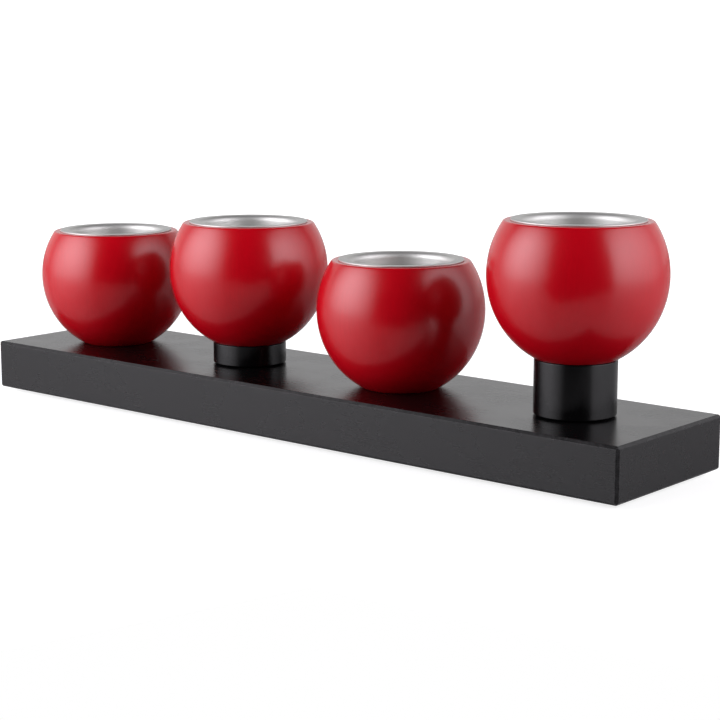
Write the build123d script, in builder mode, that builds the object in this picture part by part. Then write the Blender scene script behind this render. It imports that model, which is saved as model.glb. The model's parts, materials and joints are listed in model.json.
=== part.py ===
from build123d import *
import math
import os

# Advent candle holder: four turned wooden balls in a row on a lacquered board, two of them raised on
# round pedestals. A drawn metal cup for one tealight hangs by its flange in each ball.
# The tealight sets the cup, the cup sets the ball and the balls set the board.
# Lengths are millimetres. X runs along the board, Y across it and Z up.
# The origin is on the table, under the middle of the board.

# Tealight cups, drawn from sheet metal
cup_bore_radius = 20.4
cup_depth = 17.5
cup_sheet = 0.6
cup_mouth_bend = 2.4
cup_flange_width = 3.25
cup_floor_bend = 2.0
cup_edge_round = 0.2

# Balls, turned a little taller than wide
ball_side_margin = 8.95
ball_stretch = 1.3
ball_top_margin = 2.6
ball_shoulder_round = 1.2
ball_gap = 16.8
socket_side_clearance = 0.5
socket_floor_clearance = 0.6

# Pedestals
pedestal_radius = 16.2
pedestal_short_height = 9.8
pedestal_tall_height = 22.3
pedestal_top_chamfer = 0.3
pedestal_foot_chamfer = 0.9

# Board
board_thickness = 22.0
board_end_margin = 8.4
board_side_margin = 2.2
board_edge_chamfer = 1.1

# Countersunk wood screws, driven from below
screw_shank_radius = 2.25
screw_head_radius = 4.2
screw_head_angle = 90.0
screw_bite = 23.3
screw_tip_length = 5.0
screw_clearance = 0.2
screw_end_clearance = 1.0
screw_recess_depth = 5.0
screw_recess_clearance = 0.8
drive_length = 4.6
drive_width = 1.1
drive_depth = 1.6

# Felt pads
pad_radius = 7.5
pad_thickness = 1.5
pad_end_inset = 20.0
pad_side_inset = 16.0

# The cup's flange, and the ball that carries it
cup_flange_radius = cup_bore_radius + cup_mouth_bend + cup_flange_width
ball_radius = cup_flange_radius + ball_side_margin
ball_half_height = ball_radius + ball_stretch
ball_pitch = 2 * ball_radius + ball_gap

# A ball's two flats, cut from the ellipse that it is turned to. The lower one matches a pedestal's top
ball_top_radius = cup_flange_radius + ball_top_margin
ball_seat_radius = pedestal_radius - pedestal_top_chamfer
ball_top_above_centre = ball_half_height * math.sqrt(1 - (ball_top_radius / ball_radius) ** 2)
ball_seat_below_centre = ball_half_height * math.sqrt(1 - (ball_seat_radius / ball_radius) ** 2)

# Points on the ball's side, at even steps of the ellipse's own angle from the seat to the top
ball_side_steps = 8
seat_angle = -math.acos(ball_seat_radius / ball_radius)
top_angle = math.acos(ball_top_radius / ball_radius)
ball_side = []
for step in range(ball_side_steps + 1):
    angle = seat_angle + (top_angle - seat_angle) * step / ball_side_steps
    ball_side.append((ball_radius * math.cos(angle), ball_half_height * math.sin(angle)))

# The socket, with its mouth cut back under the cup's bend
socket_radius = cup_bore_radius + cup_sheet + socket_side_clearance
socket_depth = cup_depth + socket_floor_clearance
socket_mouth_chamfer = cup_mouth_bend - cup_sheet

# Board, and what its underside carries
ball_lifts = (0, pedestal_short_height, 0, pedestal_tall_height)
row_length = (len(ball_lifts) - 1) * ball_pitch
board_length = row_length + 2 * (ball_radius + board_end_margin)
board_width = 2 * (ball_radius + board_side_margin)
board_bottom = pad_thickness
board_top = board_bottom + board_thickness
screw_head_z = board_bottom + screw_recess_depth
screw_hole_radius = screw_shank_radius + screw_clearance
screw_recess_radius = screw_head_radius + screw_recess_clearance
screw_head_height = (screw_head_radius - screw_shank_radius) / math.tan(math.radians(screw_head_angle / 2))

# Each ball's number, its axis along X and the height of its seat
stations = []
for index, lift in enumerate(ball_lifts):
    stations.append((index + 1, index * ball_pitch - row_length / 2, board_top + lift))


def turning_plane(axis_x, height):
    """Upright plane through a piece's axis: its x is the radius and its y the height."""
    return Plane(origin=(axis_x, 0, height), x_dir=(1, 0, 0), z_dir=(0, -1, 0))


def facing_down(axis_x, height):
    """Level plane from which holes run upwards."""
    return Plane(origin=(axis_x, 0, height), x_dir=(1, 0, 0), z_dir=(0, 0, -1))


def turning_axis(axis_x):
    """Upright axis of the turned pieces at one place in the row."""
    return Axis((axis_x, 0, 0), (0, 0, 1))


os.makedirs("parts", exist_ok=True)

# Board: all edges broken, with a recessed and countersunk screw hole under each ball
with BuildPart() as board:
    with BuildSketch(Plane.XY.offset(board_bottom)):
        Rectangle(board_length, board_width)
    extrude(amount=board_thickness)
    chamfer(board.edges(), length=board_edge_chamfer)
    with Locations([facing_down(axis_x, board_bottom) for number, axis_x, seat_z in stations]):
        Hole(radius=screw_recess_radius, depth=screw_recess_depth)
    with Locations([facing_down(axis_x, screw_head_z) for number, axis_x, seat_z in stations]):
        CounterSinkHole(
            radius=screw_hole_radius,
            counter_sink_radius=screw_head_radius + screw_clearance,
            counter_sink_angle=screw_head_angle,
        )
board.part.label = "base_board"
export_step(board.part, "parts/base_board.step")

# Pedestals: turned discs with broken edges under the raised balls, bored for the screw
raised = [station for station in stations if station[-1] > board_top]
for name, (number, axis_x, seat_z) in zip(("pedestal_short", "pedestal_tall"), raised):
    with BuildPart() as pedestal:
        with BuildSketch(Plane.XY.offset(board_top)):
            with Locations((axis_x, 0)):
                Circle(pedestal_radius)
        extrude(amount=seat_z - board_top)
        chamfer(pedestal.edges().filter_by(GeomType.CIRCLE).sort_by(Axis.Z)[0], length=pedestal_foot_chamfer)
        chamfer(pedestal.edges().filter_by(GeomType.CIRCLE).sort_by(Axis.Z)[-1], length=pedestal_top_chamfer)
        with Locations((axis_x, 0, seat_z)):
            Hole(radius=screw_hole_radius)
    pedestal.part.label = name
    export_step(pedestal.part, f"parts/{name}.step")

for number, axis_x, seat_z in stations:
    centre_z = seat_z + ball_seat_below_centre
    top_z = centre_z + ball_top_above_centre

    # Ball: an ellipse cut flat below and above, turned, then bored for the cup and the screw
    with BuildPart() as ball:
        with BuildSketch(turning_plane(axis_x, centre_z)):
            with BuildLine():
                side = Spline(ball_side)
                Polyline(side @ 1, (0, ball_top_above_centre), (0, -ball_seat_below_centre), side @ 0)
            make_face()
        revolve(axis=turning_axis(axis_x))
        shoulder = ball.edges().filter_by(GeomType.CIRCLE).group_by(Axis.Z)[-1].sort_by(SortBy.LENGTH)[-1]
        fillet(shoulder, radius=ball_shoulder_round)
        with Locations((axis_x, 0, top_z)):
            Hole(radius=socket_radius, depth=socket_depth)
        mouth = ball.edges().filter_by(GeomType.CIRCLE).group_by(Axis.Z)[-1].sort_by(SortBy.LENGTH)[0]
        chamfer(mouth, length=socket_mouth_chamfer)
        with Locations(facing_down(axis_x, seat_z)):
            Hole(radius=screw_hole_radius, depth=screw_bite + screw_end_clearance)
    ball.part.label = f"ball_{number}"
    export_step(ball.part, f"parts/ball_{number}.step")

    # Cup: its inner line runs out along the floor, up the wall, over the bend and out along the flange,
    # and the sheet lies on the line's right
    with BuildPart() as cup:
        with BuildSketch(turning_plane(axis_x, top_z + cup_sheet)):
            with BuildLine():
                FilletPolyline(
                    (0, -cup_depth),
                    (cup_bore_radius, -cup_depth),
                    (cup_bore_radius, 0),
                    (cup_flange_radius, 0),
                    radius=(cup_floor_bend, cup_mouth_bend),
                )
                offset(amount=cup_sheet, side=Side.RIGHT)
            make_face()
        revolve(axis=turning_axis(axis_x))
        rim = cup.edges().filter_by(GeomType.CIRCLE).sort_by(SortBy.RADIUS)[-2:]
        fillet(rim, radius=cup_edge_round)
    cup.part.label = f"tealight_cup_{number}"
    export_step(cup.part, f"parts/tealight_cup_{number}.step")

    # Screw: head, shank and point in one turning, with a cross recess for the driver
    screw_point_z = seat_z + screw_bite
    with BuildPart() as screw:
        with BuildSketch(turning_plane(axis_x, screw_head_z)):
            with BuildLine():
                Polyline(
                    (0, 0),
                    (screw_head_radius, 0),
                    (screw_shank_radius, screw_head_height),
                    (screw_shank_radius, screw_point_z - screw_head_z - screw_tip_length),
                    (0, screw_point_z - screw_head_z),
                    close=True,
                )
            make_face()
        revolve(axis=turning_axis(axis_x))
        with BuildSketch(Plane.XY.offset(screw_head_z)):
            with Locations((axis_x, 0)):
                Rectangle(drive_length, drive_width)
                Rectangle(drive_width, drive_length)
        extrude(amount=drive_depth, mode=Mode.SUBTRACT)
    screw.part.label = f"screw_{number}"
    export_step(screw.part, f"parts/screw_{number}.step")

# Felt pads: one near each corner of the board's underside
pad_x = board_length / 2 - pad_end_inset
pad_y = board_width / 2 - pad_side_inset
pad_places = [(-pad_x, -pad_y), (-pad_x, pad_y), (pad_x, -pad_y), (pad_x, pad_y)]
for number, place in enumerate(pad_places, start=1):
    with BuildPart() as pad:
        with BuildSketch():
            with Locations(place):
                Circle(pad_radius)
        extrude(amount=pad_thickness)
    pad.part.label = f"felt_pad_{number}"
    export_step(pad.part, f"parts/felt_pad_{number}.step")
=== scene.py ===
import json
import math

import bmesh
import bpy
import numpy as np
from bpy.props import FloatProperty, FloatVectorProperty, IntProperty, PointerProperty
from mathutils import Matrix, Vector


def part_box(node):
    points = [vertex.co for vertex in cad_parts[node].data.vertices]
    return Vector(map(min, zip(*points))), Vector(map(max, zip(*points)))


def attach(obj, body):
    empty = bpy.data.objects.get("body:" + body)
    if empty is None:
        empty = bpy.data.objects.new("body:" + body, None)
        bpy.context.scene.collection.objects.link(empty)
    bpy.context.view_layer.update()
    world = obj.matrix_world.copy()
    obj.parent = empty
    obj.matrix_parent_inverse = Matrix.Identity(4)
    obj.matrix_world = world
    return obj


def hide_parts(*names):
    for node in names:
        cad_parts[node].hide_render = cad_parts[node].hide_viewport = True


bl_info = {
    "name": "Advent candle holder",
    "version": (1, 0, 0),
    "blender": (4, 5, 0),
    "location": "View3D > Sidebar > Candle holder",
    "description": "Lacquered balls on a board, with metal tealight cups, in a plain studio",
    "category": "Object",
}

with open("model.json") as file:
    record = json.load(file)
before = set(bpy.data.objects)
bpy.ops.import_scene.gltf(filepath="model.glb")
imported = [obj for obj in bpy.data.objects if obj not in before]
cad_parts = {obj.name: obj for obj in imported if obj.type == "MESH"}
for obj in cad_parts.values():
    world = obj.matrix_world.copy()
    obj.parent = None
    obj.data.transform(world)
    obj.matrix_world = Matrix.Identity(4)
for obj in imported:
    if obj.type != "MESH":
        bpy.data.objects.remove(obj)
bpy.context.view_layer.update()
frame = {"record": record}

MM = 0.001
FULL_TURN = 2 * math.pi
STATIONS = (1, 2, 3, 4)
PEDESTALS = ("pedestal_short", "pedestal_tall")
MOUNTS = {mount["name"]: mount for mount in frame["record"]["mounts"]}

# Steps of the curves
ARC_STEPS = 6
BEND_STEPS = 10
WIDE_BEND_STEPS = 16
SHOULDER_STEPS = 8
BALL_SIDE_POINTS = 72
SEARCH_POINTS = 2000
DRIVE_SIDE_STEPS = 8
ROWS_PER_PITCH = 12

# Angles from which an edge counts as a corner
BEVEL_ANGLE = math.radians(30)
SHARP_ANGLE = math.radians(35)

# How strongly the layers of a finish show
GRAIN_SHARES = (0.35, 0.8)
GRAIN_ROUGHENING = 0.015
SPECK_SHARE = 0.6
FILM_RELIEF = 0.02 * MM
TOOL_SHARES = (0.4, 0.9)
TOOL_RELIEF = 0.01 * MM
EDGE_POLISH = 0.08
FELT_RELIEF = 0.3 * MM


# Properties: the sizes that the frame's boxes don't give, the colours and the studio

def amount(name, description, value, **options):
    """A number from nothing up."""
    return FloatProperty(name=name, description=description, default=value, min=0, **options)


def length(name, description, millimetres):
    """A length that is shown in the scene's unit and kept in metres."""
    return amount(name, description, millimetres * MM, unit="LENGTH", precision=5)


def pair(name, description, across, up):
    """Two lengths across and up, kept in metres."""
    return FloatVectorProperty(
        name=name, description=description, default=(across * MM, up * MM), size=2, unit="LENGTH"
    )


def share(name, description, value):
    """A share between nothing and all."""
    return amount(name, description, value, max=1, subtype="FACTOR")


def angle(name, description, degrees):
    """An angle that is shown in degrees."""
    return FloatProperty(name=name, description=description, default=math.radians(degrees), subtype="ANGLE")


def colour(name, description, *rgb):
    """An opaque linear colour."""
    return FloatVectorProperty(
        name=name, description=description, default=(*rgb, 1), size=4, min=0, max=1, subtype="COLOR"
    )


class CANDLE_PG_ball(bpy.types.PropertyGroup):
    """Sizes of the turned balls"""

    seat_radius: length("Seat radius", "Flat that a ball stands on", 15.9)
    top_radius: length("Top radius", "Where the side would meet the flat top without its round", 28.65)
    shoulder_round: length("Shoulder round", "Round between the side and the flat top", 1.2)
    socket_radius: length("Socket radius", "Hole that takes the cup", 21.5)
    socket_depth: length("Socket depth", "Depth of that hole below the flat top", 18.1)
    mouth_chamfer: length("Mouth chamfer", "Cut at the socket's mouth, under the cup's bend", 1.8)
    pilot_radius: length("Pilot radius", "Hole for the screw, from below", 2.45)
    pilot_depth: length("Pilot depth", "Depth of the screw's hole above the seat", 24.3)
    corner_round: length("Corner round", "Lacquer's round on the holes' corners", 0.25)


class CANDLE_PG_cup(bpy.types.PropertyGroup):
    """Sizes of the drawn tealight cups"""

    bore_radius: length("Bore radius", "Inside of the wall", MOUNTS["tealight_seat_1"]["dims"]["r_mm"])
    sheet: length("Sheet", "Thickness of the metal", 0.6)
    mouth_bend: length("Mouth bend", "Bend from the flange into the wall, inside", 2.4)
    floor_bend: length("Floor bend", "Bend from the wall into the floor, inside", 2.0)
    edge_round: length("Edge round", "Round on the flange's edge", 0.2)


class CANDLE_PG_pedestal(bpy.types.PropertyGroup):
    """Sizes of the turned pedestals"""

    top_chamfer: length("Top chamfer", "Cut on the upper rim", 0.3)
    foot_chamfer: length("Foot chamfer", "Cut on the lower rim", 0.9)
    corner_round: length("Corner round", "Lacquer's round on the corners", 0.25)
    hole_radius: length("Hole radius", "Hole for the screw", 2.45)


class CANDLE_PG_board(bpy.types.PropertyGroup):
    """Sizes of the board"""

    edge_chamfer: length("Edge chamfer", "Cut on every edge", 1.1)
    corner_round: length("Corner round", "Width of the lacquer's round on the corners", 0.03)
    recess_radius: length("Recess radius", "Recess for a screw's head", 5.0)
    recess_depth: length("Recess depth", "Depth of that recess", 5.0)
    sink_radius: length("Countersink radius", "Mouth of the countersink", 4.4)
    hole_radius: length("Hole radius", "Hole for the screw", 2.45)
    side_steps: IntProperty(name="Side steps", description="Steps on each side of a cell", default=16, min=2)


class CANDLE_PG_screw(bpy.types.PropertyGroup):
    """Sizes of the countersunk wood screws"""

    shank_radius: length("Shank radius", "Plain shank and crest of the thread", 2.25)
    root_radius: length("Root radius", "Bottom of the thread", 1.6)
    pitch: length("Pitch", "Rise of the thread in one turn", 2.1)
    thread_length: length("Thread length", "Threaded stretch with the point", 25.0)
    point_length: length("Point length", "Tapered stretch at the point", 5.0)
    drive_length: length("Drive length", "Length of the cross recess", 4.6)
    drive_width: length("Drive width", "Width of the cross recess", 1.1)
    drive_depth: length("Drive depth", "Depth of the cross recess", 1.6)
    drive_taper: share("Drive taper", "Size of the recess at its bottom, of that at the face", 0.72)
    edge_round: length("Edge round", "Round on the head's edge", 0.25)


class CANDLE_PG_pad(bpy.types.PropertyGroup):
    """Sizes of the felt pads"""

    edge_round: length("Edge round", "Soft round on the cut edge", 0.4)


class CANDLE_PG_finish(bpy.types.PropertyGroup):
    """Colours and gloss of the finishes"""

    red: colour("Red", "Red lacquer", 0.495, 0.0004, 0.007)
    red_deep: colour("Red in the grain", "Red lacquer where it fills the grain", 0.45, 0.0003, 0.006)
    # Lighter red for the rims: thin lacquer over an edge, and also a painted highlight line on the shoulders
    red_thin: colour("Red on edges", "Red lacquer where it is thin over an edge", 0.53, 0.003, 0.014)
    red_index: amount("Red index", "Refractive index of the red lacquer", 1.5)
    black: colour("Black", "Black lacquer", 0.0020, 0.0019, 0.0021)
    black_deep: colour("Black in the grain", "Black lacquer where it fills the grain", 0.0014, 0.0013, 0.0015)
    # Lighter black for the edges: thin lacquer over an edge, and also a painted highlight on the board's
    # chamfers
    black_thin: colour("Black on edges", "Black lacquer where it is thin over an edge", 0.018, 0.0176, 0.0184)
    black_index: amount("Black index", "Refractive index of the black lacquer", 1.41)
    metal: colour("Metal", "Drawn metal of the cups", 0.66, 0.66, 0.635)
    metal_dull: colour("Dull metal", "Drawn metal in the lines that the tool left", 0.56, 0.56, 0.545)
    steel: colour("Steel", "Zinc plated screws", 0.60, 0.59, 0.55)
    steel_dull: colour("Dull steel", "Zinc plating that has gone dull", 0.42, 0.41, 0.40)
    felt: colour("Felt", "Felt pads", 0.030, 0.030, 0.032)
    felt_fibre: colour("Felt fibres", "Lighter fibres in the felt", 0.075, 0.075, 0.078)


class CANDLE_PG_stage(bpy.types.PropertyGroup):
    """Camera, lamps and backdrop"""

    camera_place: FloatVectorProperty(
        name="Camera place", description="Where the camera stands", default=(0.51244, -0.57953, 0.17082),
        subtype="TRANSLATION", unit="LENGTH",
    )
    camera_azimuth: angle("Camera azimuth", "Side that the camera sees, from the front towards +X", 40.286)
    camera_elevation: angle("Camera elevation", "How far the camera looks down", 10.354)
    camera_lens: amount("Lens", "Focal length", 90.96, unit="CAMERA")
    key_azimuth: angle("Key azimuth", "Side that the brighter lamp stands on", -38.3)
    key_distance: length("Key distance", "From the object to the brighter lamp", 783)
    key_width: length("Key width", "Width of the brighter lamp", 1400)
    key_bulb: pair("Key bulb", "Brightest place, across from its middle and up from its foot", 40, 450)
    key_reach: pair("Key reach", "How far its light reaches from there, across and up", 500, 560)
    key_level: amount("Key level", "Brightness of its brightest place", 6.65)
    fill_azimuth: angle("Fill azimuth", "Side that the second lamp stands on", 121)
    fill_distance: length("Fill distance", "From the object to the second lamp", 800)
    fill_width: length("Fill width", "Width of the second lamp", 1440)
    fill_bulb: pair("Fill bulb", "Brightest place, across from its middle and up from its foot", -400, 460)
    fill_reach: pair("Fill reach", "How far its light reaches from there, across and up", 680, 600)
    fill_level: amount("Fill level", "Brightness of its brightest place", 4.7)
    lamp_height: length("Lamp height", "Height of both lamps", 1250)
    lamp_foot: length("Lamp foot", "How far above the floor the lamps start", 1)
    lamp_colour: colour("Lamp colour", "Colour of both lamps", 0.965, 0.945, 1.0)
    ambient: share("Ambient", "Light of the dark room", 0.005)
    paper: colour("Paper", "Floor and backdrop", 0.48, 0.48, 0.48)
    paper_rough: share("Paper roughness", "How soft the paper's faint gloss is", 0.25)
    paper_seen: share("Paper seen", "Light added to the floor where the camera sees it", 0.78)
    paper_mirrored: share("Backdrop mirrored", "Light added to the backdrop where a surface mirrors it", 0.75)
    floor_front: length("Floor front", "How far the floor's middle runs towards the camera", 230)
    floor_notch: angle("Floor notch", "How far each half of the floor's front edge slants to the camera", 35)
    floor_back: length("Floor back", "Where the backdrop stands behind the object", 1700)
    floor_near: length("Floor near", "How far from the object the floor turns white to the camera", 300)
    floor_half_width: length("Half width", "Half the width of the floor and backdrop", 2500)
    backdrop_height: length("Backdrop height", "Height of the backdrop", 1500)
    backdrop_round: length("Backdrop round", "Round between the floor and the backdrop", 500)
    backdrop_rise: length("Backdrop rise", "Height over which the backdrop's own light sets in", 100)


class CANDLE_PG_holder(bpy.types.PropertyGroup):
    """Everything that a user would change"""

    ball: PointerProperty(type=CANDLE_PG_ball)
    cup: PointerProperty(type=CANDLE_PG_cup)
    pedestal: PointerProperty(type=CANDLE_PG_pedestal)
    board: PointerProperty(type=CANDLE_PG_board)
    screw: PointerProperty(type=CANDLE_PG_screw)
    pad: PointerProperty(type=CANDLE_PG_pad)
    finish: PointerProperty(type=CANDLE_PG_finish)
    stage: PointerProperty(type=CANDLE_PG_stage)
    sides: IntProperty(name="Sides", description="Steps round a turned piece", default=168, min=24)


# Profiles: arrays of (radius, height) points

def rounded_line(corners, radius, steps=ARC_STEPS, support=0.03):
    """Line through the corners with each inner corner replaced by a tangent arc.

    At a corner with the unit directions a (back) and b (on), half their angle is h. The arc's centre lies
    on the bisector, radius / sin h away, and the arc starts radius / tan h before the corner. Points on it
    turn evenly from the first radius arm to the second. Each straight stretch also gets a point near both
    of its ends, so that the smooth shading of an arc stays off the flat beside it.
    """
    corners = np.asarray(corners, float)
    on = np.diff(corners, axis=0)
    on /= np.linalg.norm(on, axis=1, keepdims=True)
    a, b = -on[:-1], on[1:]
    half = np.arccos(np.sum(a * b, axis=1)) / 2
    reach = (radius / np.tan(half))[:, None]
    bisector = (a + b) / np.linalg.norm(a + b, axis=1, keepdims=True)
    centre = corners[1:-1] + bisector * (radius / np.sin(half))[:, None]
    first_arm = corners[1:-1] + a * reach - centre
    last_arm = corners[1:-1] + b * reach - centre
    turn = (math.pi - 2 * half)[:, None, None]
    along = np.linspace(0, 1, steps + 1)[None, :, None]
    arms = np.sin((1 - along) * turn) * first_arm[:, None] + np.sin(along * turn) * last_arm[:, None]
    arcs = centre[:, None] + arms / np.sin(turn)
    starts = np.vstack([corners[:1], arcs[:, -1]])
    ends = np.vstack([arcs[:, 0], corners[-1:]])
    after = starts + support * (ends - starts)
    before = ends - support * (ends - starts)
    between = np.stack([after, before], axis=1)
    body = np.concatenate([between[:-1], arcs], axis=1).reshape(-1, 2)
    return np.vstack([corners[:1], body, between[-1], corners[-1:]])


def ball_profile(sizes, radius, height):
    """A ball's outline about its own centre, from the screw's hole round to the socket's floor.

    The side is the ellipse (radius cos t, half_height sin t), and half_height follows from the height
    between the two flats. The shoulder is an arc whose centre is as far below the flat top as from the side:
    it lies where the side, moved inwards by the arc's radius, crosses that level. The flat top's height is
    given as well.
    """
    seat_angle = -math.acos(sizes.seat_radius / radius)
    top_angle = math.acos(sizes.top_radius / radius)
    half_height = height / (math.sin(top_angle) - math.sin(seat_angle))
    seat, top = half_height * math.sin(seat_angle), half_height * math.sin(top_angle)
    arc = sizes.shoulder_round

    t = np.linspace(seat_angle, top_angle, SEARCH_POINTS)
    normal = np.stack([np.cos(t) / radius, np.sin(t) / half_height])
    normal /= np.linalg.norm(normal, axis=0)
    leave = np.interp(top - arc, half_height * np.sin(t) - arc * normal[1], t)
    leave_normal = np.arctan2(np.interp(leave, t, normal[1]), np.interp(leave, t, normal[0]))
    t = np.linspace(seat_angle, leave, BALL_SIDE_POINTS)
    side = np.stack([radius * np.cos(t), half_height * np.sin(t)], axis=1)
    round_centre = side[-1] - arc * np.array([math.cos(leave_normal), math.sin(leave_normal)])
    round_angle = np.linspace(leave_normal, math.pi / 2, SHOULDER_STEPS + 1)[1:]
    shoulder = round_centre + arc * np.stack([np.cos(round_angle), np.sin(round_angle)], axis=1)

    pilot, pilot_top = sizes.pilot_radius, seat + sizes.pilot_depth
    below = rounded_line([(0, pilot_top), (pilot, pilot_top), (pilot, seat), side[0]], sizes.corner_round)
    socket, socket_floor, cut = sizes.socket_radius, top - sizes.socket_depth, sizes.mouth_chamfer
    above = rounded_line(
        [shoulder[-1], (socket + cut, top), (socket, top - cut), (socket, socket_floor), (0, socket_floor)],
        sizes.corner_round,
    )
    return np.vstack([below[:-1], side, shoulder[:-1], above]), top


def cup_profile(sizes, flange, depth):
    """A cup's outline below its flange's top, from the floor's underside round to the floor's upper side.

    The upper line runs down the bore and the under line keeps the sheet's thickness from it, so the two
    arcs of a bend share their centre.
    """
    bore, sheet = sizes.bore_radius, sizes.sheet
    wall, mouth_end = bore + sheet, bore + 2 * sizes.mouth_bend
    floor = -(depth - sheet)
    under_mouth = sizes.mouth_bend - sheet
    under = rounded_line([(0, -depth), (wall, -depth), (wall, -sheet)], sizes.floor_bend + sheet, BEND_STEPS)
    under_bend = rounded_line([under[-4], (wall, -sheet), (flange, -sheet)], under_mouth, BEND_STEPS)
    rim = rounded_line(
        [(flange - 2 * sheet, -sheet), (flange, -sheet), (flange, 0), (mouth_end, 0)], sizes.edge_round
    )
    mouth = rounded_line([(mouth_end, 0), (bore, 0), (bore, floor / 2)], sizes.mouth_bend, WIDE_BEND_STEPS)
    inside = rounded_line([(bore, floor / 2), (bore, floor), (0, floor)], sizes.floor_bend, BEND_STEPS)
    return np.vstack([under[:-3], under_bend[1:-3], rim[1:-1], mouth[1:-1], inside])


def pedestal_profile(sizes, radius, bottom, top):
    """A pedestal's outline as a closed ring: down the hole, out below, up the side and in above."""
    cut, foot, hole = sizes.top_chamfer, sizes.foot_chamfer, sizes.hole_radius
    middle = (bottom + top) / 2
    corners = [
        (hole, middle), (hole, bottom), (radius - foot, bottom), (radius, bottom + foot),
        (radius, top - cut), (radius - cut, top), (hole, top), (hole, middle),
    ]
    return rounded_line(corners, sizes.corner_round)


def nearness(points, corners, reach):
    """1 at the nearest of the corners, falling off as exp(-(distance / reach) squared)."""
    gaps = np.linalg.norm(points[:, None] - np.asarray(corners, float)[None], axis=2)
    return np.exp(-(gaps.min(axis=1) / reach) ** 2)


# Surfaces: arrays of points, put into meshes

def put_mesh(name, points, quads, triangles=np.zeros((0, 3), int)):
    """New object of these faces at the origin, with smooth shading."""
    mesh = bpy.data.meshes.new(name)
    mesh.vertices.add(len(points))
    mesh.vertices.foreach_set("co", np.ascontiguousarray(points, np.float32).ravel())
    corners = np.concatenate([quads.ravel(), triangles.ravel()]).astype(np.int32)
    mesh.loops.add(len(corners))
    mesh.loops.foreach_set("vertex_index", corners)
    starts = np.concatenate([np.arange(len(quads)) * 4, quads.size + np.arange(len(triangles)) * 3])
    mesh.polygons.add(len(starts))
    mesh.polygons.foreach_set("loop_start", starts.astype(np.int32))
    mesh.update(calc_edges=True)
    mesh.shade_smooth()
    piece = bpy.data.objects.new(name, mesh)
    bpy.context.scene.collection.objects.link(piece)
    return piece


def grid_quads(rows, columns, closed_rows=False, closed_columns=True):
    """Quads of a grid of points, with the first row below the second. Closed rows or columns go round."""
    low = np.arange(rows if closed_rows else rows - 1)[:, None]
    left = np.arange(columns if closed_columns else columns - 1)
    high = (low + 1) % rows * columns
    low = low * columns
    right = (left + 1) % columns
    return np.stack([low + left, low + right, high + right, high + left], axis=-1).reshape(-1, 4)


def pole_fans(rows, columns):
    """Triangles that close a grid's first and last row in two poles, which follow the grid's points."""
    here = np.arange(columns)
    there = (here + 1) % columns
    last_row = (rows - 1) * columns
    first_fan = np.stack([np.full(columns, rows * columns), there, here], axis=1)
    last_fan = np.stack([np.full(columns, rows * columns + 1), last_row + here, last_row + there], axis=1)
    return np.vstack([first_fan, last_fan])


def stepped_ring(corners, steps):
    """Closed ring of points through the corners, with each side cut into even steps."""
    corners = np.asarray(corners, float)
    part = np.arange(steps)[None, :, None] / steps
    return (corners[:, None] + part * (np.roll(corners, -1, axis=0) - corners)[:, None]).reshape(-1, 2)


def at_height(ring, z):
    """A flat ring of points, put at a height."""
    return np.column_stack([ring, np.full(len(ring), z)])


def set_turned_data(piece, u, v, edge):
    """UV map, with u once round and v along the profile, and each point's nearness to an edge, which the
    materials mark.
    """
    layer = piece.data.uv_layers.new(name="turned")
    layer.uv.foreach_set("vector", np.stack([u, v], axis=-1).astype(np.float32).ravel())
    piece.data.attributes.new("edge", "FLOAT", "POINT").data.foreach_set("value", edge.astype(np.float32))


def turned_piece(name, profile, axis, sides, edge):
    """Surface of revolution: (r, z) goes to (axis_x + r cos a, axis_y + r sin a, z) for a full turn of a.

    The profile runs with the solid on its left. One that starts and ends on the axis closes in two poles, and
    any other closes on itself. The edge values belong to the profile's points.
    """
    turn = np.linspace(0, FULL_TURN, sides, endpoint=False)
    on_axis = profile[0, 0] == 0
    kept = slice(1, -1) if on_axis else slice(0, -1)
    ring = profile[kept]
    travel = np.concatenate([[0], np.cumsum(np.linalg.norm(np.diff(profile, axis=0), axis=1))])
    travel /= travel[-1]
    radius, height = ring[:, :1], ring[:, 1:]
    x = axis[0] + radius * np.cos(turn)
    y = axis[1] + radius * np.sin(turn)
    points = np.stack(np.broadcast_arrays(x, y, height), axis=-1).reshape(-1, 3)
    quads = grid_quads(len(ring), sides, closed_rows=not on_axis)
    column = np.tile(np.arange(sides), len(quads) // sides)
    u = np.stack([column, column + 1, column + 1, column], axis=1).ravel() / sides
    row = np.repeat(np.arange(len(quads) // sides), sides)
    v_row = travel[1:-1] if on_axis else travel
    v = np.stack([v_row[row], v_row[row], v_row[row + 1], v_row[row + 1]], axis=1).ravel()
    values = np.repeat(edge[kept], sides)
    if on_axis:
        poles = [(*axis, profile[0, 1]), (*axis, profile[-1, 1])]
        start, middle, end = (np.arange(sides) + np.array([[0], [0.5], [1]])) / sides
        fan_u = np.vstack([np.column_stack([middle, end, start]), np.column_stack([middle, start, end])])
        fan_v = np.repeat([[0, travel[1], travel[1]], [1, travel[-2], travel[-2]]], sides, axis=0)
        u, v = np.append(u, fan_u), np.append(v, fan_v)
        values = np.append(values, edge[[0, -1]])
        piece = put_mesh(name, np.vstack([points, poles]), quads, pole_fans(len(ring), sides))
    else:
        piece = put_mesh(name, points, quads)
    set_turned_data(piece, u, v, values)
    return piece


def close_seams(piece):
    """Merges the points that two grids share."""
    shape = bmesh.new()
    shape.from_mesh(piece.data)
    bmesh.ops.remove_doubles(shape, verts=shape.verts, dist=MM / 1000)
    shape.to_mesh(piece.data)
    shape.free()


def add_corner_round(piece, width):
    """Rounds the corners of a faceted piece, with flat shading kept on its faces."""
    bevel = piece.modifiers.new("corner_round", "BEVEL")
    bevel.width = width
    bevel.segments = 3
    bevel.limit_method = "ANGLE"
    bevel.angle_limit = BEVEL_ANGLE
    bevel.harden_normals = True


def dress(piece, body, node, material):
    """Lets a piece stand for its CAD node and ride on its body."""
    piece.data.materials.append(material)
    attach(piece, body)
    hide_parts(node)


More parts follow.
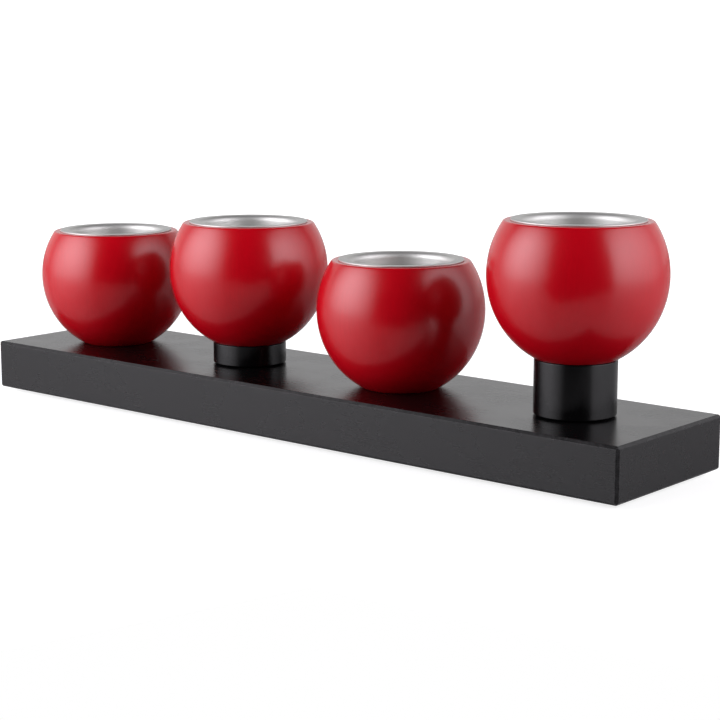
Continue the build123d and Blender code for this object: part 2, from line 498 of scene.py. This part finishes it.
def turned_box(node):
    """Upright axis, largest radius, bottom and top of a turned node, from its box."""
    low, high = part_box(node)
    return ((low.x + high.x) / 2, (low.y + high.y) / 2), (high.x - low.x) / 2, low.z, high.z


def board_surface(sizes, low, high, axes):
    """Points and quads of the board, as four cells and a band.

    A cell is a profile carried round one screw's axis. It starts on the cell's rectangle above, goes down the
    hole, the countersink and the recess, and ends on the same rectangle below. A ray from the axis to each
    point of the rectangle gives the angle of that column. The band runs up the board's sides: at a distance d
    from the side's plane the two halves of a corner stand chamfer - 2 d apart, or meet.
    """
    cut = sizes.edge_chamfer
    half_length, half_width = (high.x - low.x) / 2, (high.y - low.y) / 2
    steps = np.arange(sizes.side_steps) / sizes.side_steps
    borders = np.concatenate([[cut - half_length], (axes[1:] + axes[:-1]) / 2, [half_length - cut]])
    across = half_width - cut
    head = low.z + sizes.recess_depth
    levels = [
        (sizes.hole_radius, high.z),
        (sizes.hole_radius, head + sizes.sink_radius - sizes.hole_radius),
        (sizes.sink_radius, head),
        (sizes.recess_radius, head),
        (sizes.recess_radius, low.z),
    ]
    grids = []
    for axis, left, right in zip(axes, borders[:-1], borders[1:]):
        corners = [(right, -across), (right, across), (left, across), (left, -across)]
        rectangle = stepped_ring(corners, sizes.side_steps)
        ray = rectangle - (axis, 0)
        ray /= np.linalg.norm(ray, axis=1, keepdims=True)
        rings = [at_height(radius * ray + (axis, 0), z) for radius, z in levels]
        grids.append(np.stack([at_height(rectangle, high.z), *rings, at_height(rectangle, low.z)]))

    along = np.concatenate([left + (right - left) * steps for left, right in zip(borders[:-1], borders[1:])])
    along = np.append(along, borders[-1]) / borders[-1]
    side = np.append(2 * steps - 1, 1)
    band = []
    for depth, z in (
        (cut, low.z), (cut / 2, low.z + cut / 2), (0, low.z + cut),
        (0, high.z - cut), (cut / 2, high.z - cut / 2), (cut, high.z),
    ):
        x_face, y_face = half_length - depth, half_width - depth
        corner = max(cut - 2 * depth, 0)
        front = np.stack([along * (x_face - corner), np.full(len(along), -y_face)], axis=1)
        end = np.stack([np.full(len(side), x_face), side * (y_face - corner)], axis=1)
        band.append(at_height(np.concatenate([front, end, -front, -end]), z))
    grids.append(np.stack(band))

    points, quads, first = [], [], 0
    for grid in grids:
        rows, columns = grid.shape[:2]
        points.append(grid.reshape(-1, 3))
        quads.append(first + grid_quads(rows, columns))
        first += rows * columns
    return np.concatenate(points), np.concatenate(quads)


def screw_surface(sizes, axis, radius, bottom, top):
    """Rows of points of a countersunk screw that points up, from the bottom of its cross recess to its point.

    Every row has the same columns, which the outline of the cross gives. Rows of the thread have the radius
    root + (shank - root) w, where w is a triangle wave of height / pitch - angle / full turn, and the radius
    falls to nothing along the point. The two poles close the rows.
    """
    long_half, wide_half = sizes.drive_length / 2, sizes.drive_width / 2
    x, y = np.array([(long_half, -wide_half), (long_half, wide_half), (wide_half, wide_half)]).T
    quarter = np.arange(4)[:, None] * math.pi / 2
    cos, sin = np.cos(quarter), np.sin(quarter)
    cross = np.stack([cos * x - sin * y, sin * x + cos * y], axis=-1).reshape(-1, 2)
    outline = stepped_ring(cross, DRIVE_SIDE_STEPS)
    column_angle = np.arctan2(outline[:, 1], outline[:, 0])
    cross_radius = np.linalg.norm(outline, axis=1)

    shank, root = sizes.shank_radius, sizes.root_radius
    neck, recess = bottom + radius - shank, bottom + sizes.drive_depth
    thread_start = top - sizes.thread_length
    corners = [(long_half, bottom), (radius, bottom), (shank, neck), (shank, thread_start)]
    head = rounded_line(corners, sizes.edge_round)[1:]
    z = np.linspace(thread_start, top, int(sizes.thread_length / sizes.pitch * ROWS_PER_PITCH))[1:-1, None]
    wave = np.abs(2 * np.mod(z / sizes.pitch - column_angle[None] / FULL_TURN, 1) - 1)
    run_in = np.clip((z - thread_start) / sizes.pitch, 0, 1)
    depth = (shank - root) * (1 - wave) * run_in
    point = np.clip((top - z) / sizes.point_length, 0, 1)

    head_radii = np.repeat(head[:, :1], len(column_angle), axis=1)
    radii = np.vstack([cross_radius * sizes.drive_taper, cross_radius, head_radii, (shank - depth) * point])
    heights = np.concatenate([[recess, bottom], head[:, 1], z[:, 0]])
    x = axis[0] + radii * np.cos(column_angle)
    y = axis[1] + radii * np.sin(column_angle)
    rows = np.stack(np.broadcast_arrays(x, y, heights[:, None]), axis=-1)
    return rows, np.array([(*axis, recess), (*axis, top)])


# Shader nodes

def feed(tree, node, inputs):
    """Gives a node its inputs: each is a value or the output socket that feeds it."""
    for name, value in inputs.items():
        if isinstance(value, bpy.types.NodeSocket):
            tree.links.new(value, node.inputs[name])
        else:
            node.inputs[name].default_value = value


def put(tree, kind, inputs=None, **settings):
    """New node with its settings and inputs, to the right of the others."""
    node = tree.nodes.new(kind)
    node.location = (220 * len(tree.nodes), 0)
    for name, value in settings.items():
        setattr(node, name, value)
    feed(tree, node, inputs or {})
    return node


def math_node(tree, operation, first, second=0.0):
    """Output of one Math node."""
    return put(tree, "ShaderNodeMath", {0: first, 1: second}, operation=operation).outputs[0]


def times(tree, first, second):
    """Product of two values."""
    return math_node(tree, "MULTIPLY", first, second)


def vector_node(tree, operation, inputs, output="Vector"):
    """Output of one Vector Math node."""
    return put(tree, "ShaderNodeVectorMath", inputs, operation=operation).outputs[output]


def ramp(tree, value, low, high, to_low=0.0, to_high=1.0):
    """Output of a smooth Map Range from low..high to to_low..to_high."""
    inputs = {"Value": value, "From Min": low, "From Max": high, "To Min": to_low, "To Max": to_high}
    return put(tree, "ShaderNodeMapRange", inputs, interpolation_type="SMOOTHSTEP").outputs["Result"]


def noise(tree, vector, scale, detail, roughness):
    """Value of a 3-D noise."""
    inputs = {"Vector": vector, "Scale": scale, "Detail": detail, "Roughness": roughness}
    return put(tree, "ShaderNodeTexNoise", inputs).outputs["Fac"]


def mix_colour(tree, factor, first, second):
    """Output of a colour mix; its colour sockets have no names of their own."""
    return put(tree, "ShaderNodeMix", {0: factor, 6: first, 7: second}, data_type="RGBA").outputs[2]


def bump(tree, height, distance, strength, **under):
    """Normal of one bump layer, over the Normal of another where one is given."""
    inputs = {"Height": height, "Distance": distance, "Strength": strength, **under}
    return put(tree, "ShaderNodeBump", inputs).outputs["Normal"]


def new_group(name, inputs, outputs):
    """Empty shader node group: an input without a value is a vector, and every other socket a number."""
    tree = bpy.data.node_groups.new(name, "ShaderNodeTree")
    for label, value in inputs.items():
        kind = "NodeSocketVector" if value is None else "NodeSocketFloat"
        socket = tree.interface.new_socket(name=label, in_out="INPUT", socket_type=kind)
        if value is not None:
            socket.default_value = value
    for label in outputs:
        tree.interface.new_socket(name=label, in_out="OUTPUT", socket_type="NodeSocketFloat")
    return tree, tree.nodes.new("NodeGroupInput").outputs, tree.nodes.new("NodeGroupOutput")


def use_group(tree, make, inputs):
    """Outputs of a group placed in a material. The function makes the group when it is first used."""
    group = bpy.data.node_groups.get(make.__name__) or make()
    return put(tree, "ShaderNodeGroup", inputs, node_tree=group).outputs


def wood_grain():
    """Fibres of wood under lacquer: fine lines and broad bands along the stretched direction."""
    inputs = {"Vector": None, "Lines per metre": 800.0}
    tree, given, result = new_group("wood_grain", inputs, ("Lines", "Bands"))
    place, lines = given["Vector"], given["Lines per metre"]
    fine = noise(tree, place, lines, detail=4, roughness=0.65)
    broad = noise(tree, place, times(tree, lines, 0.11), detail=2, roughness=0.5)
    feed(tree, result, {"Lines": ramp(tree, fine, 0.36, 0.66), "Bands": ramp(tree, broad, 0.3, 0.7)})
    return tree


def lacquer_skin():
    """Sprayed film: a fine orange peel, cloudy gloss and a few specks of dust under it."""
    inputs = {"Vector": None, "Peel per metre": 700.0}
    tree, given, result = new_group("lacquer_skin", inputs, ("Peel", "Cloud", "Specks"))
    place, fine = given["Vector"], given["Peel per metre"]
    peel = noise(tree, place, fine, detail=1, roughness=0.4)
    cloud = noise(tree, place, times(tree, fine, 0.07), detail=3, roughness=0.55)
    cell_scale = times(tree, fine, 0.12)
    cells = put(tree, "ShaderNodeTexVoronoi", {"Vector": place, "Scale": cell_scale}).outputs
    chosen = put(tree, "ShaderNodeSeparateColor", {"Color": cells["Color"]}).outputs["Red"]
    speck = ramp(tree, cells["Distance"], 0.012, 0.03, 1.0, 0.0)
    few = times(tree, speck, ramp(tree, chosen, 0.95, 0.97))
    feed(tree, result, {"Peel": peel, "Cloud": ramp(tree, cloud, 0.3, 0.7), "Specks": few})
    return tree


def edge_wear():
    """Where a film is thin: near an edge, broken up by noise. A lacquer paints this band lighter, for thin
    film and as a painted edge highlight.
    """
    tree, given, result = new_group("edge_wear", {"Vector": None, "Edge": 0.0}, ("Thin",))
    ragged = noise(tree, given["Vector"], 420, detail=3, roughness=0.6)
    broken = times(tree, given["Edge"], ragged)
    feed(tree, result, {"Thin": ramp(tree, broken, 0.22, 0.62)})
    return tree


def turning_lines():
    """Lines that a tool leaves round a turned or drawn piece, by its own map."""
    tree, given, result = new_group("turning_lines", {"Map": None, "Lines along": 300.0}, ("Lines", "Cloud"))
    parts = put(tree, "ShaderNodeSeparateXYZ", {"Vector": given["Map"]}).outputs
    turn = times(tree, parts["X"], FULL_TURN)
    ring = {
        "X": math_node(tree, "COSINE", turn),
        "Y": math_node(tree, "SINE", turn),
        "Z": times(tree, parts["Y"], given["Lines along"]),
    }
    place = put(tree, "ShaderNodeCombineXYZ", ring).outputs["Vector"]
    slow = vector_node(tree, "MULTIPLY", {0: place, 1: (1.4, 1.4, 0.03)})
    lines = noise(tree, place, 1.0, detail=4, roughness=0.7)
    cloud = noise(tree, slow, 1.0, detail=2, roughness=0.5)
    feed(tree, result, {"Lines": ramp(tree, lines, 0.3, 0.7), "Cloud": ramp(tree, cloud, 0.3, 0.7)})
    return tree


# Materials

def new_material(name):
    """Material with a Principled shader; gives the material, its tree and the shader."""
    material = bpy.data.materials.new(name)
    material.use_nodes = True
    tree = material.node_tree
    return material, tree, tree.nodes["Principled BSDF"]


def edge_attribute(tree, place=None):
    """Nearness to an edge, as a turned piece carries it."""
    return put(tree, "ShaderNodeAttribute", attribute_name="edge").outputs["Fac"]


def board_edge(low, high, reach):
    """Maker of the nearness to an edge of the board.

    An edge is where the second of the three distances to the board's faces is small as well.
    """
    def make(tree, place):
        offset = vector_node(tree, "SUBTRACT", {0: place, 1: (low + high) / 2})
        from_middle = vector_node(tree, "ABSOLUTE", {0: offset})
        gaps = vector_node(tree, "SUBTRACT", {0: (high - low) / 2, 1: from_middle})
        x, y, z = put(tree, "ShaderNodeSeparateXYZ", {"Vector": gaps}).outputs
        smaller, larger = math_node(tree, "MINIMUM", x, y), math_node(tree, "MAXIMUM", x, y)
        second = math_node(tree, "MAXIMUM", smaller, math_node(tree, "MINIMUM", larger, z))
        return ramp(tree, second, 0, reach, 1.0, 0.0)
    return make


def lacquer_material(name, colours, film_index, stretch, lines, edge, roughness, grain_relief, peel_relief):
    """Satin lacquer over wood: the grain shows faintly, and the film is thin over the edges.
    Its lighter colour there is thin film and also a painted edge highlight.

    stretch squeezes the direction of the grain, edge makes the socket that tells where edges are, and the
    two reliefs are how much of the grain and of the film's peel can be felt.
    """
    plain, deep, thin = colours
    material, tree, shader = new_material(name)
    place = put(tree, "ShaderNodeTexCoord").outputs["Object"]
    along_grain = put(tree, "ShaderNodeMapping", {"Vector": place, "Scale": stretch}).outputs["Vector"]
    grain = use_group(tree, wood_grain, {"Vector": along_grain, "Lines per metre": lines})
    skin = use_group(tree, lacquer_skin, {"Vector": place})
    edge_band = use_group(tree, edge_wear, {"Vector": place, "Edge": edge(tree, place)})
    filled = times(tree, grain["Lines"], ramp(tree, grain["Bands"], 0, 1, *GRAIN_SHARES))
    specks = times(tree, skin["Specks"], SPECK_SHARE)
    marks = math_node(tree, "MAXIMUM", edge_band["Thin"], specks)
    # Near the edges the colour moves to the lighter edge colour: thin lacquer and a painted edge highlight;
    # dust specks take it too
    painted = mix_colour(tree, marks, mix_colour(tree, filled, plain, deep), thin)
    rougher = times(tree, filled, GRAIN_ROUGHENING)
    satin = math_node(tree, "ADD", ramp(tree, skin["Cloud"], 0, 1, *roughness), rougher)
    grain_normal = bump(tree, grain["Lines"], FILM_RELIEF, grain_relief)
    normal = bump(tree, skin["Peel"], FILM_RELIEF, peel_relief, Normal=grain_normal)
    feed(tree, shader, {"Base Color": painted, "Roughness": satin, "Normal": normal, "IOR": film_index})
    return material


def metal_material(name, plain, dull, lines, roughness):
    """Bare metal with the lines of its tool round it, a little smoother on its edges."""
    material, tree, shader = new_material(name)
    place = put(tree, "ShaderNodeTexCoord").outputs
    tool = use_group(tree, turning_lines, {"Map": place["UV"], "Lines along": lines})
    edge_band = use_group(tree, edge_wear, {"Vector": place["Object"], "Edge": edge_attribute(tree)})
    mottled = times(tree, tool["Lines"], ramp(tree, tool["Cloud"], 0, 1, *TOOL_SHARES))
    polish = times(tree, edge_band["Thin"], EDGE_POLISH)
    look = {
        "Base Color": mix_colour(tree, mottled, plain, dull),
        "Roughness": math_node(tree, "SUBTRACT", ramp(tree, mottled, 0, 1, *roughness), polish),
        "Metallic": 1.0,
        "Normal": bump(tree, tool["Lines"], TOOL_RELIEF, strength=0.5),
    }
    feed(tree, shader, look)
    return material


def felt_material(plain, fibre):
    """Pressed wool: dark, matt and full of short fibres."""
    material, tree, shader = new_material("felt_pads")
    place = put(tree, "ShaderNodeTexCoord").outputs["Object"]
    tangle = noise(tree, place, 2600, detail=5, roughness=0.75)
    tufts = noise(tree, place, 500, detail=3, roughness=0.6)
    look = {
        "Base Color": mix_colour(tree, ramp(tree, tangle, 0.45, 0.75), plain, fibre),
        "Roughness": ramp(tree, tufts, 0.3, 0.7, 0.88, 1.0),
        "Sheen Weight": 0.3,
        "Normal": bump(tree, math_node(tree, "ADD", tangle, tufts), FELT_RELIEF, strength=0.6),
    }
    feed(tree, shader, look)
    return material


def paper_material(settings):
    """Plain pale paper with a faint gloss. It is lit as any surface is, and looks white to the camera."""
    material, tree, shader = new_material("studio_paper")
    path = put(tree, "ShaderNodeLightPath").outputs
    mirrored = math_node(tree, "MAXIMUM", path["Is Glossy Ray"], path["Is Transmission Ray"])
    place = put(tree, "ShaderNodeTexCoord").outputs["Object"]
    height = put(tree, "ShaderNodeSeparateXYZ", {"Vector": place}).outputs["Z"]
    away = vector_node(tree, "LENGTH", {0: place}, "Value")
    seen = ramp(tree, away, settings.floor_near, 2 * settings.floor_near, settings.paper_seen, 1)
    backdrop = ramp(tree, height, 0, settings.backdrop_rise, 0, settings.paper_mirrored)
    to_camera = times(tree, path["Is Camera Ray"], seen)
    to_gloss = times(tree, mirrored, backdrop)
    look = {
        "Base Color": settings.paper,
        "Roughness": settings.paper_rough,
        "Emission Color": (1, 1, 1, 1),
        "Emission Strength": math_node(tree, "ADD", to_camera, to_gloss),
    }
    feed(tree, shader, look)
    return material


# Operators: one for each piece or group of like pieces, and one for the stage

class CANDLE_OT_board(bpy.types.Operator):
    """Make the black board, with its recessed screw holes"""

    bl_idname = "candle.board"
    bl_label = "Board"

    def execute(self, context):
        settings = context.scene.candle_holder
        finish, sizes = settings.finish, settings.board
        low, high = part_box("base_board")
        axes = np.array([turned_box(f"screw_{number}")[0] for number in STATIONS])[:, 0]
        piece = put_mesh("board", *board_surface(sizes, low, high, axes))
        close_seams(piece)
        add_corner_round(piece, sizes.corner_round)
        # The board's edges are painted a lighter black: thin lacquer and a painted highlight on the chamfers
        material = lacquer_material(
            "board_lacquer", (finish.black, finish.black_deep, finish.black_thin), finish.black_index,
            stretch=(0.03, 1, 1), lines=700, edge=board_edge(low, high, 3 * sizes.edge_chamfer),
            roughness=(0.25, 0.275), grain_relief=0.015, peel_relief=0.015,
        )
        dress(piece, "stand", "base_board", material)
        return {"FINISHED"}


class CANDLE_OT_pedestals(bpy.types.Operator):
    """Turn the two black pedestals"""

    bl_idname = "candle.pedestals"
    bl_label = "Pedestals"

    def execute(self, context):
        settings = context.scene.candle_holder
        finish, sizes = settings.finish, settings.pedestal
        material = lacquer_material(
            "pedestal_lacquer", (finish.black, finish.black_deep, finish.black), finish.black_index,
            stretch=(1, 1, 0.05), lines=700, edge=edge_attribute,
            roughness=(0.225, 0.25), grain_relief=0.015, peel_relief=0.015,
        )
        cut, foot = sizes.top_chamfer, sizes.foot_chamfer
        for node in PEDESTALS:
            axis, radius, bottom, top = turned_box(node)
            profile = pedestal_profile(sizes, radius, bottom, top)
            lower_rim = [(radius - foot, bottom), (radius, bottom + foot)]
            upper_rim = [(radius, top - cut), (radius - cut, top)]
            edge = nearness(profile, lower_rim + upper_rim, foot)
            piece = turned_piece(f"{node}_turned", profile, axis, settings.sides, edge)
            dress(piece, "stand", node, material)
        return {"FINISHED"}


class CANDLE_OT_balls(bpy.types.Operator):
    """Turn the four red balls"""

    bl_idname = "candle.balls"
    bl_label = "Balls"

    def execute(self, context):
        settings = context.scene.candle_holder
        finish, sizes = settings.finish, settings.ball
        material = lacquer_material(
            "ball_lacquer", (finish.red, finish.red_deep, finish.red_thin), finish.red_index,
            stretch=(1, 1, 0.035), lines=900, edge=edge_attribute,
            roughness=(0.23, 0.26), grain_relief=0.07, peel_relief=0.04,
        )
        rims = (sizes.top_radius - sizes.shoulder_round, sizes.socket_radius + sizes.mouth_chamfer)
        for number in STATIONS:
            node = f"ball_{number}"
            axis, radius, bottom, top = turned_box(node)
            profile, flat = ball_profile(sizes, radius, top - bottom)
            # Near the shoulder's and the socket's rims the lacquer is painted a lighter red: thin lacquer and
            # a painted highlight line
            edge = nearness(profile, [(rim, flat) for rim in rims], sizes.shoulder_round)
            profile = profile + (0, top - flat)
            piece = turned_piece(f"{node}_turned", profile, axis, settings.sides, edge)
            dress(piece, "stand", node, material)
        return {"FINISHED"}


class CANDLE_OT_cups(bpy.types.Operator):
    """Draw the four metal cups"""

    bl_idname = "candle.cups"
    bl_label = "Tealight cups"

    def execute(self, context):
        settings = context.scene.candle_holder
        finish, sizes = settings.finish, settings.cup
        material = metal_material(
            "drawn_metal", finish.metal, finish.metal_dull, lines=420.0, roughness=(0.55, 0.63)
        )
        for number in STATIONS:
            node = f"tealight_cup_{number}"
            axis, flange, bottom, top = turned_box(node)
            profile = cup_profile(sizes, flange, top - bottom)
            edge = nearness(profile, [(flange, 0), (flange, -sizes.sheet)], sizes.sheet)
            profile = profile + (0, top)
            piece = turned_piece(f"{node}_drawn", profile, axis, settings.sides, edge)
            dress(piece, f"cup_{number}", node, material)
        return {"FINISHED"}


class CANDLE_OT_screws(bpy.types.Operator):
    """Make the four wood screws"""

    bl_idname = "candle.screws"
    bl_label = "Screws"

    def execute(self, context):
        settings = context.scene.candle_holder
        finish, sizes = settings.finish, settings.screw
        material = metal_material(
            "zinc_plate", finish.steel, finish.steel_dull, lines=160.0, roughness=(0.30, 0.48)
        )
        for number in STATIONS:
            node = f"screw_{number}"
            rows, poles = screw_surface(sizes, *turned_box(node))
            count, sides = rows.shape[:2]
            points = np.vstack([rows.reshape(-1, 3), poles])
            quads, fans = grid_quads(count, sides), pole_fans(count, sides)
            piece = put_mesh(f"{node}_threaded", points, quads, fans)
            piece.data.set_sharp_from_angle(angle=SHARP_ANGLE)
            corners = np.append(quads, fans)
            u, v = (corners % sides) / sides, (corners // sides) / count
            set_turned_data(piece, u, v, np.zeros(len(points)))
            dress(piece, "stand", node, material)
        return {"FINISHED"}


class CANDLE_OT_pads(bpy.types.Operator):
    """Cut the four felt pads"""

    bl_idname = "candle.pads"
    bl_label = "Felt pads"

    def execute(self, context):
        settings = context.scene.candle_holder
        material = felt_material(settings.finish.felt, settings.finish.felt_fibre)
        for number in STATIONS:
            node = f"felt_pad_{number}"
            axis, radius, bottom, top = turned_box(node)
            corners = [(0, bottom), (radius, bottom), (radius, top), (0, top)]
            profile = rounded_line(corners, settings.pad.edge_round)
            piece = turned_piece(f"{node}_cut", profile, axis, settings.sides, np.zeros(len(profile)))
            dress(piece, "stand", node, material)
        return {"FINISHED"}


def direction(azimuth, elevation):
    """Unit vector from the object towards an azimuth, from the front towards +X, and an elevation."""
    level = math.cos(elevation)
    return Vector((math.sin(azimuth) * level, -math.cos(azimuth) * level, math.sin(elevation)))


def put_facing(name, data, place, back):
    """New camera or lamp at a place, looking away from the direction at its back."""
    holder = bpy.data.objects.new(name, data)
    holder.location = place
    holder.rotation_mode = "QUATERNION"
    holder.rotation_quaternion = back.to_track_quat("Z", "Y")
    bpy.context.scene.collection.objects.link(holder)
    return holder


def put_lamp(lamp, settings):
    """Upright soft box that stands a little above the floor and faces the object.

    Its face shines as level exp(-a squared - b squared), where a and b are the distances from its brightest
    place, across and up, over how far the light reaches that way. Its power follows from that brightness.
    """
    names = ("azimuth", "distance", "width", "bulb", "reach", "level")
    azimuth, distance, width, bulb, reach, level = (getattr(settings, f"{lamp}_{name}") for name in names)
    height = settings.lamp_height
    light = bpy.data.lights.new(f"{lamp}_lamp", "AREA")
    light.shape = "RECTANGLE"
    light.size = width
    light.size_y = height
    light.energy = level * math.pi * width * height
    light.color = settings.lamp_colour[:3]
    light.use_nodes = True
    tree = light.node_tree
    face = put(tree, "ShaderNodeNewGeometry").outputs["Parametric"]
    scale = (width / reach[0], height / reach[1], 0)
    start = (-(width / 2 + bulb[0]) / reach[0], -bulb[1] / reach[1], 0)
    from_bulb = vector_node(tree, "MULTIPLY_ADD", {0: face, 1: scale, 2: start})
    squared = vector_node(tree, "DOT_PRODUCT", {0: from_bulb, 1: from_bulb}, "Value")
    shine = math_node(tree, "EXPONENT", times(tree, squared, -1))
    feed(tree, tree.nodes["Emission"], {"Strength": shine})
    back = direction(azimuth, 0)
    middle = back * distance + Vector((0, 0, settings.lamp_foot + height / 2))
    put_facing(f"{lamp}_lamp", light, middle, back).visible_camera = False


class CANDLE_OT_stage(bpy.types.Operator):
    """Set the camera, the lamps and the paper backdrop"""

    bl_idname = "candle.stage"
    bl_label = "Stage"

    def execute(self, context):
        settings = context.scene.candle_holder.stage
        scene = context.scene
        scene.view_settings.view_transform = "Standard"

        lens = bpy.data.cameras.new("camera")
        lens.lens = settings.camera_lens
        back = direction(settings.camera_azimuth, settings.camera_elevation)
        scene.camera = put_facing("camera", lens, settings.camera_place, back)
        put_lamp("key", settings)
        put_lamp("fill", settings)

        behind, rise = settings.floor_back, settings.backdrop_height
        corners = [(-settings.floor_front, 0), (behind, 0), (behind, rise)]
        profile = rounded_line(corners, settings.backdrop_round, WIDE_BEND_STEPS)
        away = -np.array(direction(settings.camera_azimuth, 0))
        aside, up = np.array((away[1], -away[0], 0)), np.array((0, 0, 1))
        widths = np.array([-settings.floor_half_width, 0, settings.floor_half_width])
        points = profile[:, None, :1] * away + widths[:, None] * aside + profile[:, None, 1:] * up
        points[0] -= np.abs(widths)[:, None] * math.tan(settings.floor_notch) * away
        quads = grid_quads(len(profile), len(widths), closed_columns=False)
        paper = put_mesh("paper", points.reshape(-1, 3), quads)
        paper.data.materials.append(paper_material(settings))

        world = bpy.data.worlds.new("studio")
        scene.world = world
        world.use_nodes = True
        tree = world.node_tree
        seen = put(tree, "ShaderNodeLightPath").outputs["Is Camera Ray"]
        strength = ramp(tree, seen, 0, 1, settings.ambient, 1.0)
        feed(tree, tree.nodes["Background"], {"Color": (1, 1, 1, 1), "Strength": strength})
        return {"FINISHED"}


class CANDLE_PT_sidebar(bpy.types.Panel):
    """The candle holder's pieces and their settings"""

    bl_idname = "CANDLE_PT_sidebar"
    bl_label = "Candle holder"
    bl_space_type = "VIEW_3D"
    bl_region_type = "UI"
    bl_category = "Candle holder"

    def draw(self, context):
        settings = context.scene.candle_holder
        for operator, group in PIECES:
            box = self.layout.box()
            box.operator(operator.bl_idname)
            for name in getattr(settings, group).__annotations__:
                box.prop(getattr(settings, group), name)
        colours = self.layout.box()
        for name in settings.finish.__annotations__:
            colours.prop(settings.finish, name)
        self.layout.prop(settings, "sides")


PIECES = (
    (CANDLE_OT_board, "board"),
    (CANDLE_OT_pedestals, "pedestal"),
    (CANDLE_OT_balls, "ball"),
    (CANDLE_OT_cups, "cup"),
    (CANDLE_OT_screws, "screw"),
    (CANDLE_OT_pads, "pad"),
    (CANDLE_OT_stage, "stage"),
)
CLASSES = (
    CANDLE_PG_ball,
    CANDLE_PG_cup,
    CANDLE_PG_pedestal,
    CANDLE_PG_board,
    CANDLE_PG_screw,
    CANDLE_PG_pad,
    CANDLE_PG_finish,
    CANDLE_PG_stage,
    CANDLE_PG_holder,
    *(operator for operator, group in PIECES),
    CANDLE_PT_sidebar,
)


def register():
    for cls in CLASSES:
        bpy.utils.register_class(cls)
    bpy.types.Scene.candle_holder = PointerProperty(type=CANDLE_PG_holder)


def unregister():
    del bpy.types.Scene.candle_holder
    for cls in reversed(CLASSES):
        bpy.utils.unregister_class(cls)


def main():
    register()
    bpy.ops.candle.board()
    bpy.ops.candle.pedestals()
    bpy.ops.candle.balls()
    bpy.ops.candle.cups()
    bpy.ops.candle.screws()
    bpy.ops.candle.pads()
    bpy.ops.candle.stage()


if __name__ == "__main__":
    main()
